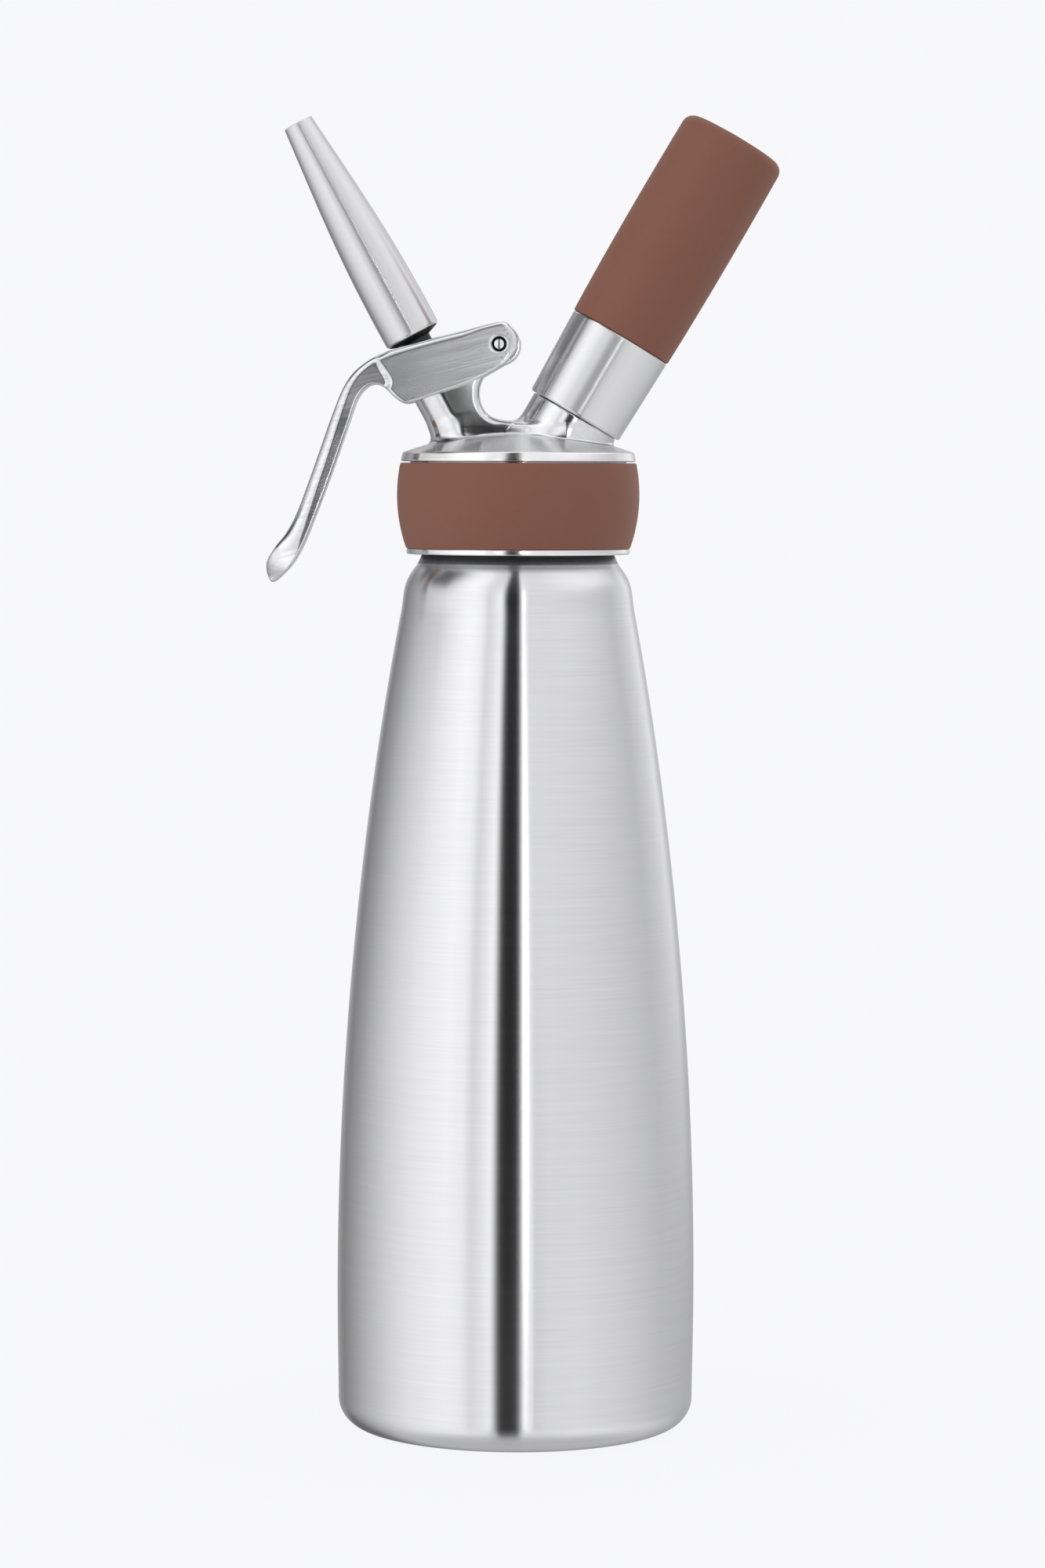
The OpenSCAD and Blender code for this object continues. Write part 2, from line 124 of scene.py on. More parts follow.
def makePiece(name, points, faces, body, material, place=None, stands=(), normals=None,
              sharp=None):
    mesh = bpy.data.meshes.new(name)
    mesh.from_pydata((np.asarray(points, float) * mm).tolist(), [], faces)
    mesh.update()
    mesh.shade_smooth()
    if normals is not None:
        mesh.normals_split_custom_set_from_vertices(normals.tolist())
    if sharp:
        mesh.set_sharp_from_angle(angle=math.radians(sharp))
    mesh.materials.append(material)
    piece = addObject(name, mesh)
    if place is not None:
        piece.matrix_world = place
    if sharp:
        weighted = piece.modifiers.new("weighted", "WEIGHTED_NORMAL")
        weighted.keep_sharp = True
    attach(piece, body)
    if stands:
        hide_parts(*stands)
    return piece


# Turns a closed outline of radius and height round Z
def turned(outline, steps):
    outline = np.array(outline, float)
    angle = np.arange(steps) * 2 * math.pi / steps
    points, rings = [], []
    for r, z in outline:
        if r < 1e-6:
            rings.append([len(points)])
            points.append((0, 0, z))
        else:
            rings.append(list(range(len(points), len(points) + steps)))
            points.extend(zip(r * np.cos(angle), r * np.sin(angle), [z] * steps))
    faces = []
    for i, low in enumerate(rings):
        high = rings[(i + 1) % len(rings)]
        if len(low) == 1 and len(high) == 1:
            continue
        for j in range(steps):
            k = (j + 1) % steps
            if len(low) == 1:
                faces.append((low[0], high[k], high[j]))
            elif len(high) == 1:
                faces.append((low[j], low[k], high[0]))
            else:
                faces.append((low[j], low[k], high[k], high[j]))
    return points, faces


def turnedPiece(name, outline, body, material, place=None, stands=(), steps=128, sharp=34):
    points, faces = turned(outline, steps)
    return makePiece(name, points, faces, body, material, place, stands, sharp=sharp)


# Distance functions in millimetres, negative inside, and the mesh of their zero surface
# joined and trimmed put a rounding of radius r where the two shapes meet

def joined(a, b, r):
    return np.maximum(np.minimum(a, b), r) - np.hypot(np.maximum(r - a, 0), np.maximum(r - b, 0))


def trimmed(a, b, r):
    return np.minimum(np.maximum(a, b), -r) + np.hypot(np.maximum(a + r, 0), np.maximum(b + r, 0))


def ramp(x, low, high):
    t = np.clip((x - low) / (high - low), 0, 1)
    return t * t * (3 - 2 * t)


# How far the point lies from a line in the plane y = 0, on the side the direction points to
def beyond(x, z, point, direction):
    return (x - point[0]) * direction[0] + (z - point[1]) * direction[1]


# Distance from a closed outline in the plane y = 0
def outlineDistance(x, z, outline):
    shape = np.broadcast(x, z).shape
    best, inside = np.full(shape, 1e9), np.zeros(shape, bool)
    for (ax, az), (bx, bz) in zip(outline, np.roll(outline, -1, 0)):
        ex, ez = bx - ax, bz - az
        px, pz = x - ax, z - az
        t = np.clip((px * ex + pz * ez) / (ex * ex + ez * ez + 1e-12), 0, 1)
        best = np.minimum(best, (px - ex * t) ** 2 + (pz - ez * t) ** 2)
        if az != bz:
            inside ^= ((az > z) != (bz > z)) & (x < ex * (z - az) / ez + ax)
    return np.where(inside, -1, 1) * np.sqrt(best)


def gradient(distance, p, h=0.02):
    rows = []
    for axis in range(3):
        step = np.zeros(3)
        step[axis] = h
        after, before = (distance(q[:, 0], q[:, 1], q[:, 2]) for q in (p + step, p - step))
        rows.append((after - before) / (2 * h))
    return np.stack(rows, 1)


# Points, four-sided faces and normals of the zero surface, on a grid of the given cell size;
# soft is the reach over which a normal is measured
def surfaceNet(distance, low, high, cell, keep=None, soft=0.06):
    low = np.array(low, float)
    size = np.ceil((np.array(high) - low) / cell).astype(int) + 1
    x, y, z = (low[i] + cell * np.arange(size[i]) for i in range(3))
    d = distance(x[:, None, None], y[None, :, None], z[None, None, :])
    d = np.broadcast_to(d, tuple(size))
    inside = d < 0
    cells = size - 1
    total = int(np.prod(cells))
    sums, count, quads = np.zeros((3, total)), np.zeros(total), []
    for axis in range(3):
        a, b = [i for i in range(3) if i != axis]
        ahead = [slice(None)] * 3
        back = [slice(None)] * 3
        ahead[axis], back[axis] = slice(1, None), slice(None, -1)
        here = np.argwhere(inside[tuple(ahead)] != inside[tuple(back)])
        fine = ((here[:, a] > 0) & (here[:, a] < cells[a])
                & (here[:, b] > 0) & (here[:, b] < cells[b]))
        here = here[fine]
        there = here.copy()
        there[:, axis] += 1
        d0, d1 = d[tuple(here.T)], d[tuple(there.T)]
        spot = low + cell * here
        spot[:, axis] += cell * d0 / (d0 - d1)
        corner = []
        for da, db in ((1, 1), (0, 1), (0, 0), (1, 0)):
            g = here.copy()
            g[:, a] -= da
            g[:, b] -= db
            index = (g[:, 0] * cells[1] + g[:, 1]) * cells[2] + g[:, 2]
            corner.append(index)
            count += np.bincount(index, minlength=total)
            for i in range(3):
                sums[i] += np.bincount(index, weights=spot[:, i], minlength=total)
        quad = np.stack(corner, 1)
        flip = (d0 >= 0) ^ (axis == 1)
        quad[flip] = quad[flip][:, ::-1]
        quads.append(quad)
    quads = np.vstack(quads)
    used, quads = np.unique(quads, return_inverse=True)
    quads = quads.reshape(-1, 4)
    p = (sums[:, used] / count[used]).T
    # The points move onto the surface in three steps
    for _ in range(3):
        g = gradient(distance, p)
        value = distance(p[:, 0], p[:, 1], p[:, 2])
        move = (value / np.maximum((g * g).sum(1), 0.2))[:, None] * g
        length = np.linalg.norm(move, axis=1, keepdims=True)
        p = p - move * np.minimum(1, 0.5 * cell / np.maximum(length, 1e-9))
    if keep is not None:
        wanted = keep(p)
        quads = quads[wanted[quads].any(1)]
        used, quads = np.unique(quads, return_inverse=True)
        quads = quads.reshape(-1, 4)
        p = p[used]
    g = gradient(distance, p, soft)
    normals = g / np.maximum(np.linalg.norm(g, axis=1, keepdims=True), 1e-9)
    return p, quads.tolist(), normals


# Shader building

def newMaterial(name):
    material = bpy.data.materials.new(name)
    material.use_nodes = True
    material.node_tree.nodes.clear()
    return material, material.node_tree


def addNode(tree, kind, inputs=None, **settings):
    node = tree.nodes.new(kind)
    for key, value in settings.items():
        setattr(node, key, value)
    for key, value in (inputs or {}).items():
        if isinstance(value, bpy.types.NodeSocket):
            tree.links.new(value, node.inputs[key])
        else:
            node.inputs[key].default_value = value
    return node


def calc(tree, operation, *values):
    return addNode(tree, "ShaderNodeMath", dict(enumerate(values)), operation=operation).outputs[0]


def mapped(tree, value, low, high, first=0.0, second=1.0, **settings):
    return addNode(tree, "ShaderNodeMapRange", {
        "Value": value, "From Min": low, "From Max": high, "To Min": first, "To Max": second},
        **settings).outputs[0]


def mixedColours(tree, share, first, second):
    return addNode(tree, "ShaderNodeMix", {"Factor": share, "A": first, "B": second},
                   data_type="RGBA").outputs["Result"]


def fromAxis(tree, xyz):
    return calc(tree, "SQRT", calc(tree, "ADD", calc(tree, "MULTIPLY", xyz[0], xyz[0]),
                                   calc(tree, "MULTIPLY", xyz[1], xyz[1])))


def addNoise(group, result, vector, scale, detail, rough):
    noise = addNode(group, "ShaderNodeTexNoise", {
        "Vector": vector, "Scale": scale, "Detail": detail, "Roughness": rough})
    group.links.new(noise.outputs["Fac"], result)


def newGroup(name, inputs, outputs):
    group = bpy.data.node_groups.new(name, "ShaderNodeTree")
    for label, kind, value in inputs:
        socket = group.interface.new_socket(label, in_out="INPUT", socket_type=kind)
        if value is not None:
            socket.default_value = value
    for label, kind in outputs:
        group.interface.new_socket(label, in_out="OUTPUT", socket_type=kind)
    given, result = group.nodes.new("NodeGroupInput"), group.nodes.new("NodeGroupOutput")
    return group, given.outputs, result.inputs


# Lines left by turning or brushing round the object's own Z axis
def makeTurningGroup():
    group, given, result = newGroup("turning_lines", [
        ("Vector", "NodeSocketVector", None),
        ("Lines per mm", "NodeSocketFloat", 3.0),
        ("Length", "NodeSocketFloat", 1.5)],
        [("Fine", "NodeSocketFloat"), ("Bands", "NodeSocketFloat"), ("Cloud", "NodeSocketFloat")])
    xyz = addNode(group, "ShaderNodeSeparateXYZ", {0: given["Vector"]}).outputs
    radius = calc(group, "MAXIMUM", fromAxis(group, xyz), 0.0005)
    around = calc(group, "DIVIDE", given["Length"], radius)
    along = calc(group, "ADD", xyz[2], radius)
    for label, scale, detail, stretch in (("Fine", 1000.0, 2.0, 1.0), ("Bands", 160.0, 3.0, 0.7)):
        rows = calc(group, "MULTIPLY", along, calc(group, "MULTIPLY", given["Lines per mm"], scale))
        spot = addNode(group, "ShaderNodeCombineXYZ", {
            0: calc(group, "MULTIPLY", calc(group, "MULTIPLY", xyz[0], around), stretch),
            1: calc(group, "MULTIPLY", calc(group, "MULTIPLY", xyz[1], around), stretch),
            2: rows}).outputs[0]
        addNoise(group, result[label], spot, 1.0, detail, 0.65)
    addNoise(group, result["Cloud"], given["Vector"], 45.0, 4.0, 0.55)
    return group


# Even grain of blasted, cast or moulded surfaces
def makeGrainGroup():
    group, given, result = newGroup("even_grain", [
        ("Vector", "NodeSocketVector", None),
        ("Grain per mm", "NodeSocketFloat", 3.0),
        ("Stretch", "NodeSocketVector", (1.0, 1.0, 1.0))],
        [("Fine", "NodeSocketFloat"), ("Coarse", "NodeSocketFloat"), ("Cloud", "NodeSocketFloat")])
    stretched = addNode(group, "ShaderNodeVectorMath", {0: given["Vector"], 1: given["Stretch"]},
                        operation="MULTIPLY").outputs[0]
    for label, scale, detail in (("Fine", 1000.0, 2.0), ("Coarse", 260.0, 3.0)):
        grain = calc(group, "MULTIPLY", given["Grain per mm"], scale)
        addNoise(group, result[label], stretched, grain, detail, 0.6)
    addNoise(group, result["Cloud"], given["Vector"], 55.0, 4.0, 0.55)
    return group


turningGroup = makeTurningGroup()
grainGroup = makeGrainGroup()


def objectVector(tree):
    return addNode(tree, "ShaderNodeTexCoord").outputs["Object"]


# The base value, moved by the noise to half the amount below or above it
def varied(tree, noise, base, amount):
    return mapped(tree, noise, 0.2, 0.8, base - amount / 2, base + amount / 2)


def noisyColour(tree, noise, low, high):
    return mixedColours(tree, mapped(tree, noise, 0.25, 0.75), (*low, 1), (*high, 1))


def finishShader(tree, colour, roughness, height, bump, depth, fixed):
    relief = addNode(tree, "ShaderNodeBump", {
        "Strength": bump, "Distance": depth, "Height": height}).outputs[0]
    shader = addNode(tree, "ShaderNodeBsdfPrincipled", {
        "Base Color": colour, "Roughness": roughness, "Normal": relief, **fixed}).outputs[0]
    addNode(tree, "ShaderNodeOutputMaterial", {"Surface": shader})


# Steel turned or brushed round Z: its gloss spreads along the axis
def turnedSteel(name, look):
    material, tree = newMaterial(name)
    fine, bands, cloud = addNode(tree, "ShaderNodeGroup", {
        "Vector": objectVector(tree), "Lines per mm": look["lines"], "Length": look["length"]},
        node_tree=turningGroup).outputs
    both = calc(tree, "ADD", calc(tree, "MULTIPLY", fine, 0.6), calc(tree, "MULTIPLY", bands, 0.4))
    tone, spread = np.array(look["tone"]), look["streaks"]
    colour = noisyColour(tree, both, tone * (1 - spread), np.minimum(tone * (1 + spread), 0.99))
    rough = calc(tree, "ADD", varied(tree, both, look["rough"], look["roughSpread"]),
                 varied(tree, cloud, 0.0, look["cloud"]))
    tangent = addNode(tree, "ShaderNodeTangent", direction_type="RADIAL", axis="Z").outputs[0]
    finishShader(tree, colour, rough, both, look["bump"], 0.00001, {
        "Metallic": 1.0, "Anisotropic": 1.0, "Anisotropic Rotation": 0.25, "Tangent": tangent})
    return material


# Steel without a turning direction, such as cast, blasted or drawn steel
def plainSteel(name, look):
    look = {"lean": 0, "stretch": (1, 1, 1), "roughSpread": 0.03, **look}
    material, tree = newMaterial(name)
    leaned = addNode(tree, "ShaderNodeMapping", {
        "Vector": objectVector(tree), "Rotation": (0, math.radians(look["lean"]), 0)}).outputs[0]
    fine, coarse, cloud = addNode(tree, "ShaderNodeGroup", {
        "Vector": leaned, "Grain per mm": look["grain"], "Stretch": look["stretch"]},
        node_tree=grainGroup).outputs
    tone, spread = np.array(look["tone"]), look["spread"]
    colour = noisyColour(tree, coarse, tone * (1 - spread), np.minimum(tone * (1 + spread), 0.99))
    rough = calc(tree, "ADD", varied(tree, fine, look["rough"], look["roughSpread"]),
                 varied(tree, cloud, 0.0, 0.03))
    finishShader(tree, colour, rough, fine, look["bump"], 0.00002, {"Metallic": 1.0})
    return material


# Silicone, rubber or plastic
def softMaterial(name, look):
    material, tree = newMaterial(name)
    fine, coarse, cloud = addNode(tree, "ShaderNodeGroup", {
        "Vector": objectVector(tree), "Grain per mm": look["grain"]}, node_tree=grainGroup).outputs
    tone, spread = np.array(look["tone"]), look["spread"]
    speck = calc(tree, "ADD", calc(tree, "MULTIPLY", coarse, 0.5), calc(tree, "MULTIPLY", cloud, 0.5))
    colour = noisyColour(tree, speck, tone * (1 - spread), tone * (1 + spread))
    rough = varied(tree, coarse, look["rough"], 0.08)
    finishShader(tree, colour, rough, fine, look["bump"], 0.00003, {
        "Specular IOR Level": look["specular"], "Sheen Weight": look["sheen"],
        "Sheen Roughness": 0.5, "Sheen Tint": (*look["sheenTint"], 1)})
    return material


bright = (0.80, 0.80, 0.81)
bottleSteel = turnedSteel("bottle_steel", {
    "lines": 3.0, "length": 1.6, "tone": bright, "streaks": 0.035, "rough": 0.20,
    "roughSpread": 0.02, "cloud": 0.01, "bump": 0.08})
domeSteel = turnedSteel("dome_steel", {
    "lines": 3.0, "length": 2.5, "tone": bright, "streaks": 0.05, "rough": 0.24,
    "roughSpread": 0.04, "cloud": 0.02, "bump": 0.12})
nozzleSteel = turnedSteel("nozzle_steel", {
    "lines": 4.0, "length": 1.2, "tone": bright, "streaks": 0.015, "rough": 0.28,
    "roughSpread": 0.01, "cloud": 0.0, "bump": 0.005})
sleeveSteel = turnedSteel("sleeve_steel", {
    "lines": 3.5, "length": 1.4, "tone": bright, "streaks": 0.02, "rough": 0.27,
    "roughSpread": 0.01, "cloud": 0.0, "bump": 0.03})
rimSteel = plainSteel("rim_steel", {
    "grain": 1.6, "tone": (0.93, 0.93, 0.94), "spread": 0.02, "rough": 0.15, "bump": 0.02})
# Near-black steel: painted shade in the pin's hole, in the groove behind the pin's end and under the
# head's lip
shadeSteel = plainSteel("painted_shade_steel", {
    "grain": 1.2, "tone": (0.05, 0.05, 0.05), "spread": 0.1, "rough": 0.5, "roughSpread": 0.1,
    "bump": 0.2})
castSteel = plainSteel("cast_steel", {
    "grain": 1.6, "tone": (0.79, 0.79, 0.80), "spread": 0.05, "rough": 0.145, "bump": 0.02})
leverSteel = plainSteel("lever_steel", {
    "grain": 5.5, "stretch": (0.05, 0.5, 1.0), "lean": 14, "tone": (0.82, 0.82, 0.83), "spread": 0.16,
    "rough": 0.215, "bump": 0.008})
# The box's flat sides: longer lines than on the rest of the lever
sideSteel = plainSteel("side_steel", {
    "grain": 7.5, "stretch": (0.012, 0.3, 1.0), "lean": 14, "tone": bright, "spread": 0.19,
    "rough": 0.215, "bump": 0.008})
# Dull steel round the pin
eyeSteel = plainSteel("eye_steel", {
    "grain": 3.0, "tone": bright, "spread": 0.05, "rough": 0.32, "bump": 0.01})
pinSteel = plainSteel("pin_steel", {
    "grain": 3.0, "tone": (0.86, 0.86, 0.87), "spread": 0.03, "rough": 0.13, "bump": 0.03})
# Dark steel for the neck: painted shade under the head's lip
neckShadeSteel = plainSteel("neck_painted_shade", {
    "grain": 1.6, "tone": (0.35, 0.35, 0.355), "spread": 0.08, "rough": 0.3, "roughSpread": 0.05,
    "bump": 0.05})
innerSteel = plainSteel("turned_steel", {
    "grain": 3.0, "tone": (0.74, 0.74, 0.75), "spread": 0.04, "rough": 0.24, "roughSpread": 0.06,
    "bump": 0.08})
springSteel = plainSteel("spring_steel", {
    "grain": 4.0, "tone": (0.66, 0.67, 0.69), "spread": 0.04, "rough": 0.2, "roughSpread": 0.05,
    "bump": 0.05})
bulbSteel = plainSteel("bulb_steel", {
    "grain": 1.2, "tone": (0.72, 0.73, 0.75), "spread": 0.06, "rough": 0.26, "roughSpread": 0.1,
    "bump": 0.1})
foil = plainSteel("foil", {
    "grain": 2.0, "tone": (0.75, 0.75, 0.77), "spread": 0.05, "rough": 0.3, "roughSpread": 0.1,
    "bump": 0.2})
brownSilicone = softMaterial("brown_silicone", {
    "grain": 2.2, "tone": (0.234, 0.096, 0.064), "spread": 0.05, "rough": 0.60, "specular": 0.30,
    "sheen": 0.12, "sheenTint": (1.0, 0.86, 0.8), "bump": 0.16})
redSilicone = softMaterial("red_silicone", {
    "grain": 2.0, "tone": (0.34, 0.022, 0.014), "spread": 0.05, "rough": 0.5, "specular": 0.45,
    "sheen": 0.05, "sheenTint": (1.0, 0.8, 0.8), "bump": 0.1})
blackRubber = softMaterial("black_rubber", {
    "grain": 2.4, "tone": (0.028, 0.028, 0.028), "spread": 0.08, "rough": 0.55, "specular": 0.4,
    "sheen": 0.05, "sheenTint": (1.0, 1.0, 1.0), "bump": 0.12})
blackPlastic = softMaterial("black_plastic", {
    "grain": 3.0, "tone": (0.017, 0.017, 0.017), "spread": 0.1, "rough": 0.45, "specular": 0.5,
    "sheen": 0.0, "sheenTint": (1.0, 1.0, 1.0), "bump": 0.12})
print("materials made")


# Bottle

bottle = {"belly": (47.5, 36.8), "shoulder": (30.9, 217.0), "neck": 25.9, "mouth": 252.0,
          "footCentre": (39.55, 7.6), "footRadius": 7.6, "wall": 1.0, "steps": 224}


# The side from the foot to the neck, moved inwards by the inset
def bottleSide(inset):
    bx, bz = bottle["belly"]
    sx, sz = bottle["shoulder"]
    nx = bottle["neck"]
    foot = arc(bottle["footCentre"], bottle["footRadius"] - inset, -90, 0, 18)
    lower = cubic((47.15 - inset, 7.6), (47.25 - inset, 16), (bx - inset, 26), (bx - inset, bz), 14)
    body = cubic((bx - inset, bz), (bx - inset, bz + 67.9), (sx + 9.1 - inset, sz - 47.6),
                 (sx - inset, sz), 72)
    shoulder = cubic((sx - inset, sz), (sx - 0.9 - inset, sz + 5.2), (sx - 0.2 - inset, sz + 7.4),
                     (nx + 1.1 - inset, sz + 12), 24)
    neck = cubic((nx + 1.1 - inset, sz + 12), (nx + 0.45 - inset, sz + 12.9),
                 (nx - 0.2 - inset, sz + 14.2), (nx - 0.65 - inset, sz + 15.9), 12)
    return np.vstack([foot, lower[1:], body[1:], shoulder[1:], neck[1:],
                      [(nx - inset * 1.6, sz + 17.5)]])


outside, inside = bottleSide(0), bottleSide(bottle["wall"])
base = np.array([(0, 0), (14, 0), (29.2, 0), (30.1, 0.12), (30.7, 0.62), (31.2, 0.8), (32.8, 0.8),
                 (33.3, 0.62), (33.9, 0.12), (34.8, 0), (37.5, 0)])
baseInside = np.array([(36.5, 1), (34.9, 1.05), (33.9, 1.55), (33.2, 1.8), (30.8, 1.8),
                       (30.1, 1.55), (29.1, 1.05), (28, 1), (14, 1), (0, 1)])
top = bottle["mouth"]
mouth = softened([(bottle["neck"], top - 1.8), (bottle["neck"], top, 0.5), (24.3, top, 0.5),
                  (24.3, top - 1.8)], 5)
bottleBody = turnedPiece(
    "bottle_body", np.vstack([base, outside, [(bottle["neck"], 240)], mouth, inside[::-1], baseInside]),
    "bottle", bottleSteel, stands=["bottle_shell"], steps=bottle["steps"])
# Painted shade: the neck is dark steel from just under the head's lip upwards, where the head covers it
bottleBody.data.materials.append(neckShadeSteel)
for face in bottleBody.data.polygons:
    if face.center.z > 0.2297:
        face.material_index = 1
print("bottle made")


# Head: what is round about the bottle's axis

head = {"rim": 31.05, "rimLow": 256.6, "rimTop": 258.93, "domeTop": 264.3, "domeRadius": 90.99,
        "domeEdge": 30.6, "lip": 29.5, "lipLow": 232.2, "lipTop": 233.7, "skirt": 28.6, "bore": 26.3,
        "ceiling": 254.4, "boss": 18.5, "bossLow": 250.5}
domeAngle = math.degrees(math.asin(head["domeEdge"] / head["domeRadius"]))
dome = arc((0, head["domeTop"] - head["domeRadius"]), head["domeRadius"],
           90 - domeAngle + 0.35, 90, 40)
skirt, bore, lip = head["skirt"], head["bore"], head["lip"]
rimSide = softened([(skirt, 250), (skirt, head["rimLow"]), (30.95, head["rimLow"], 0.28),
                    (head["rim"], 257.0, 0.25), (30.62, head["rimTop"], 0.34),
                    (dome[0][0], dome[0][1]), (28, 261)], 6)[1:-2]
lipSide = softened([(bore, 240), (bore, head["lipLow"], 0.25), (28.1, head["lipLow"]),
                    (lip, head["lipLow"], 0.42), (lip, head["lipTop"], 0.3),
                    (skirt, head["lipTop"]), (skirt, 240)], 6)[1:-1]
headOutline = np.vstack([[(0, head["bossLow"]), (head["boss"], head["bossLow"]),
                          (head["boss"], head["ceiling"]), (bore, head["ceiling"]), (bore, 250)],
                         lipSide, rimSide, dome])
points, faces = turned(headOutline, 224)
headBody = makePiece("head_body", points, faces, "head", domeSteel,
                     stands=["head_casting"], sharp=34)


# Takes the closed shapes (points, faces and place) away from the piece
def cutAway(piece, shapes):
    piece.modifiers.clear()
    tools = []
    for points, faces, place in shapes:
        mesh = bpy.data.meshes.new("tool")
        mesh.from_pydata((np.array(points) * mm).tolist(), [], faces)
        mesh.transform(place)
        tool = addObject("tool", mesh)
        tools.append(tool)
        cut = piece.modifiers.new("cut", "BOOLEAN")
        cut.operation, cut.object, cut.solver = "DIFFERENCE", tool, "EXACT"
    with bpy.context.temp_override(object=piece, active_object=piece, selected_objects=[piece]):
        for cut in list(piece.modifiers):
            bpy.ops.object.modifier_apply(modifier=cut.name)
    for tool in tools:
        bpy.data.meshes.remove(tool.data)
    piece.data.set_sharp_from_angle(angle=math.radians(34))
    piece.modifiers.new("weighted", "WEIGHTED_NORMAL").keep_sharp = True


# The bores of both valves run through the round part
bores = []
for place, low, high, radius in ((outletFrame, -31.5, -11.5, 6.7), (outletFrame, -12.5, -3, 4.6),
                                 (outletFrame, -4, 20, 5.25), (inletFrame, -40, 1, 6.05)):
    bores.append((*turned([(0, low), (radius, low), (radius, high), (0, high)], 64), place))
cutAway(headBody, bores)
# Rim and lip are polished, and the skirt's end under the lip is near-black steel: painted shade
headBody.data.materials.append(rimSteel)
headBody.data.materials.append(shadeSteel)
for face in headBody.data.polygons:
    x, y, z = face.center / mm
    if z < 232.3 and face.normal.z < -0.9 and math.hypot(x, y) < 28.1:
        face.material_index = 2
    elif math.hypot(x, y) > 28.7 and (256.5 < z < 258.95 or z < 234):
        face.material_index = 1
print("round part of the head made,", len(headBody.data.polygons), "faces")


# Head: post, web, lug, ridge and inlet socket on the dome

casting = {"postRadius": 7.9, "postTop": 16.0, "webSpread": 0.02, "webCurve": 0.0026,
           "arch": (-2.05, 274.6), "archRadius": 8.2, "archLimit": ((-9.15, 278.7), (0.503, -0.864)),
           "webEdge": 1.8, "topSlope": ((-14.64, 281.83), (-0.862, 0.506)),
           "lugAcross": (0.788, 0.616), "lugUp": (-0.574, 0.819), "lug": 5.5, "lugHalf": 7.6,
           "eyeShift": 0.36, "eyeRadius": 5.42, "eyeTop": 1.2,
           "ridgeTop": 266.4, "ridgeEdge": 1.2, "socket": 12.2, "socketX": 12.67,
           "postFillet": 2.3, "ridgeFillet": 0.8, "socketFillet": 1.2,
           "spigot": 10.0, "spigotTop": 15, "pitch": 2, "threadDepth": 0.34,
           "springBore": 5.8, "guideBore": 5.25, "checkBore": 6.05, "gasBore": 2.2, "sealBore": 4.65,
           "pinBore": 1.85}
outletTilt, inletTilt = math.radians(28.65), math.radians(-30.15)


# Across and along an axis that leans left from upright by the given tilt
def axisSpace(x, z, spot, tilt):
    dx, dz = x - spot[0], z - spot[1]
    return (dx * math.cos(tilt) + dz * math.sin(tilt),
            -dx * math.sin(tilt) + dz * math.cos(tilt))


def domeDistance(x, y, z):
    radius = head["domeRadius"]
    return np.sqrt(x * x + y * y + (z - head["domeTop"] + radius) ** 2) - radius


